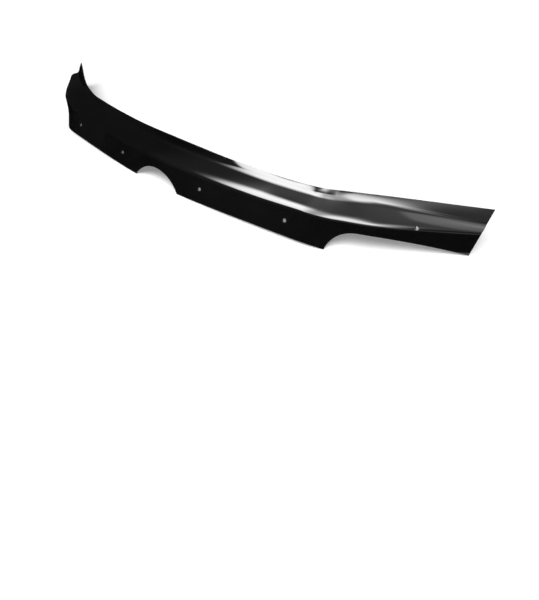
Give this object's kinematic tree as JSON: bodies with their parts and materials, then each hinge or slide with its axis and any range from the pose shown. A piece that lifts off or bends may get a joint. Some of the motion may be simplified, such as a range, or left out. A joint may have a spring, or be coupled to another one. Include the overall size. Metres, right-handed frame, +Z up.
{
  "type": "hood bug deflector",
  "caption": "Formed gloss black sheet that wraps the front edge of a hood, with a shelf and an upswept lip that lift air and insects over the windscreen, and screw holes in its lower face.",
  "frame": {"origin": "middle of the bounding box, on the ground that the sheet stands on", "axes": "+X to the part's left as fitted, along its span, +Y backwards over the hood, +Z up; the front faces -Y"},
  "size_m": [1.4, 0.2644, 0.0978],
  "materials": {
    "acrylic": "gloss"
  },
  "bodies": {
    "root": {"deflector_shield": "acrylic"}
  },
  "joints": []
}
